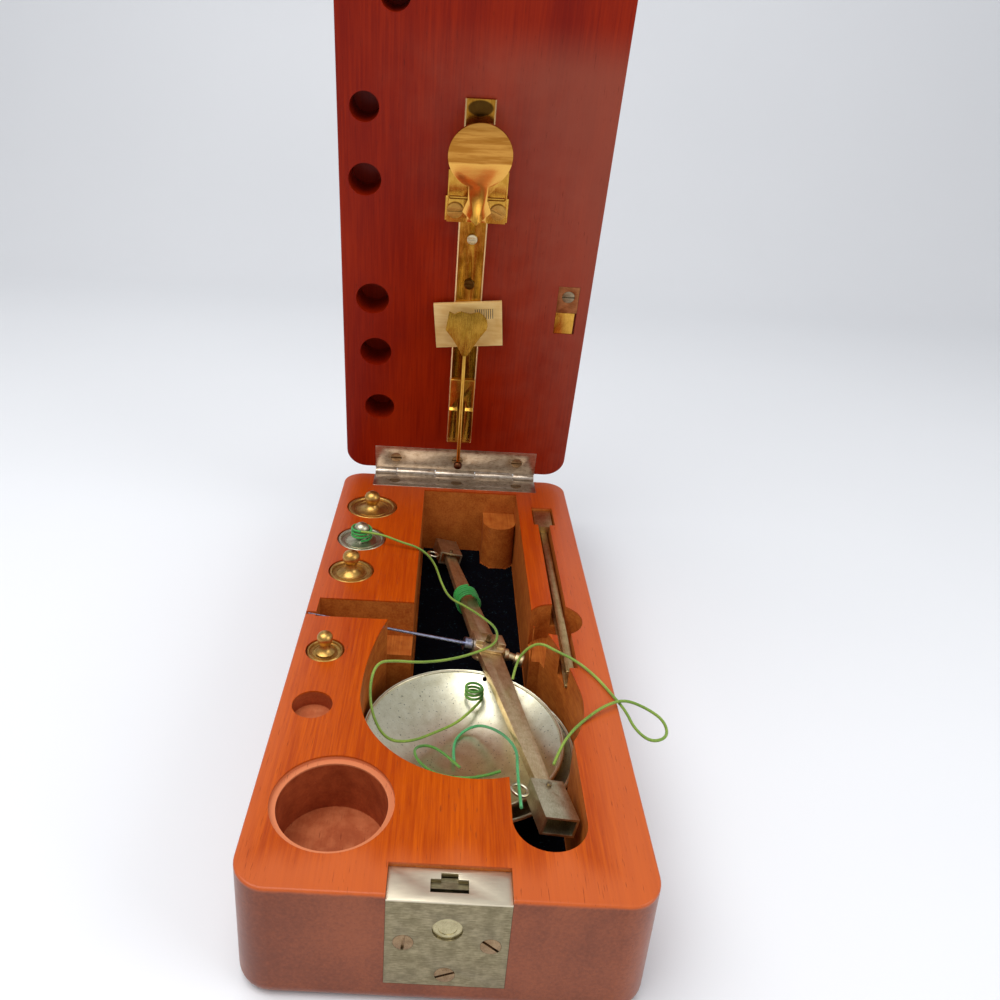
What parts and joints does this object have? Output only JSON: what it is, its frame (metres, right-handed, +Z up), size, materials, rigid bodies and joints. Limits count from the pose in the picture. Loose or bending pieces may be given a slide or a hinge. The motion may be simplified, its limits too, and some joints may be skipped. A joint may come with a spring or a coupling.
{
  "type": "portable assay balance in hinged case",
  "caption": "Small beam balance stowed in a hinged mahogany case, with lock, weights, tweezers, nested pans and silk cords; the open lid carries the pillar strip.",
  "frame": {"origin": "middle of the underside of the case", "axes": "+X to the right seen from the lock, +Y from the lock to the hinge, +Z up"},
  "size_m": [0.1016, 0.2216, 0.2341],
  "materials": {
    "mahogany_base": "polished, worn to a satin sheen",
    "mahogany_lid": "satin with a slight bloom",
    "velvet": "cotton velvet pile",
    "hinge_nickel": "tarnished nickel plate",
    "lock_brass": "brushed, lightly tarnished",
    "pillar_brass": "aged bright brass",
    "weight_brass": "turned brass with fine rings",
    "weight_nickel": "nickel plate, dulled",
    "beam_nickel": "nickel silver, worn to a warm tone",
    "pan_nickel": "nickel silver with tarnish specks",
    "steel": "dull steel",
    "tweezer_brass": "dull brass",
    "screw_steel": "slotted heads, tarnished",
    "ivory": "ivory-like plate, slightly yellowed",
    "silk_green": "fine twisted silk",
    "silk_teal": "fine twisted silk"
  },
  "bodies": {
    "case": {"case_base": "mahogany_base", "well_lining": "velvet", "corner_post": "mahogany_base", "hinge_leaf_case": "hinge_nickel", "hinge_screws_case": "screw_steel", "hinge_pin": "hinge_nickel", "lock_plate": "lock_brass", "lock_screws": "screw_steel", "lock_spring": "steel"},
    "lid": {"lid": "mahogany_lid", "hinge_leaf_lid": "hinge_nickel", "hinge_screws_lid": "screw_steel", "strike_plate": "lock_brass", "strike_hook": "lock_brass", "pillar_strip": "pillar_brass", "pillar_screws": "screw_steel", "bearing_bracket": "pillar_brass", "cradle_plate": "pillar_brass", "guard_plate": "pillar_brass", "bracket_screws": "screw_steel", "scale_plate": "ivory", "plumb_yoke": "pillar_brass", "plumb_pin": "steel", "guide_fork": "pillar_brass", "clip_plate": "pillar_brass", "clip_tab": "pillar_brass", "clip_screw": "screw_steel"},
    "plumb_lever": {"plumb_shield": "beam_nickel", "plumb_rod": "beam_nickel", "plumb_ball": "beam_nickel"},
    "lock_bolt": {"lock_button": "lock_brass", "lock_catch": "lock_brass"},
    "weight_first": {"weight_first": "weight_brass"},
    "weight_second": {"weight_second": "weight_nickel", "cord_knob_winding": "silk_green"},
    "weight_third": {"weight_third": "weight_brass"},
    "weight_fourth": {"weight_fourth": "weight_brass"},
    "tweezers": {"tweezer_head": "tweezer_brass"},
    "tweezer_leg_upper": {"tweezer_leg_upper": "steel"},
    "tweezer_leg_lower": {"tweezer_leg_lower": "steel"},
    "balance": {"beam": "beam_nickel", "beam_boss": "beam_nickel", "centre_knife": "steel", "pointer": "beam_nickel", "gravity_stem": "beam_nickel", "gravity_bob": "beam_nickel", "stirrup_pins": "steel", "pan_lower": "pan_nickel", "pan_upper": "pan_nickel", "cord_beam_winding": "silk_green", "cord_long": "silk_green", "cord_teal": "silk_teal", "cord_pan": "silk_green", "cord_edge": "silk_green", "cord_tangle": "silk_green"},
    "stirrup_near": {"stirrup_near": "beam_nickel", "ring_near": "beam_nickel"},
    "stirrup_far": {"stirrup_far": "beam_nickel", "ring_far": "beam_nickel"}
  },
  "joints": [
    {"name": "lid_hinge", "type": "hinge", "parent": "case", "child": "lid", "pos_m": [0, 0.1021, 0.03325], "axis": [-1, 0, 0], "range_deg": [-76.75, 13.25], "deforming": ["cord_long", "cord_edge", "cord_knob_winding"]},
    {"name": "plumb_swing", "type": "hinge", "parent": "lid", "child": "plumb_lever", "pos_m": [0.0006, 0.07948, 0.10138], "axis": [-1, 0, 0], "range_deg": [-12.75, 1]},
    {"name": "lock_button_push", "type": "slide", "parent": "case", "child": "lock_bolt", "axis": [0, 1, 0], "range_m": [0, 0.0014], "stiffness_N_per_m": 800, "springref_m": -0.001, "deforming": ["lock_spring"]},
    {"name": "weight_first_lift", "type": "slide", "parent": "case", "child": "weight_first", "axis": [0, 0, 1], "range_m": [0, 0.02]},
    {"name": "weight_second_lift", "type": "slide", "parent": "case", "child": "weight_second", "axis": [0, 0, 1], "range_m": [0, 0.02], "deforming": ["cord_long", "cord_knob_winding"]},
    {"name": "weight_third_lift", "type": "slide", "parent": "case", "child": "weight_third", "axis": [0, 0, 1], "range_m": [0, 0.02]},
    {"name": "weight_fourth_lift", "type": "slide", "parent": "case", "child": "weight_fourth", "axis": [0, 0, 1], "range_m": [0, 0.02]},
    {"name": "tweezers_lift", "type": "slide", "parent": "case", "child": "tweezers", "axis": [0, 0, 1], "range_m": [0, 0.015]},
    {"name": "tweezer_squeeze_upper", "type": "hinge", "parent": "tweezers", "child": "tweezer_leg_upper", "pos_m": [0.0343, 0.0625, 0.02845], "axis": [1, 0, 0], "range_deg": [0, 1.2], "stiffness_Nm_per_rad": 1.2},
    {"name": "tweezer_squeeze_lower", "type": "hinge", "parent": "tweezers", "child": "tweezer_leg_lower", "pos_m": [0.0343, 0.0625, 0.02845], "axis": [-1, 0, 0], "range_deg": [0, 1.2], "stiffness_Nm_per_rad": 1.2},
    {"name": "balance_lift", "type": "slide", "parent": "case", "child": "balance", "axis": [0, 0, 1], "range_m": [0, 0.03], "deforming": ["cord_long", "cord_edge"]},
    {"name": "stirrup_near_swing", "type": "hinge", "parent": "balance", "child": "stirrup_near", "pos_m": [0.02392, -0.06435, 0.02645], "axis": [0.2189, 0.1392, 0.9658], "range_deg": [-2.5, 2.5], "deforming": ["cord_teal"]},
    {"name": "stirrup_far_swing", "type": "hinge", "parent": "balance", "child": "stirrup_far", "pos_m": [-0.00066, 0.06871, 0.01285], "axis": [0.2189, 0.1392, 0.9658], "range_deg": [-2.5, 2.5]}
  ],
  "couplings": [
    {"joint": "tweezer_squeeze_lower", "follows": "tweezer_squeeze_upper", "ratio": 1}
  ]
}
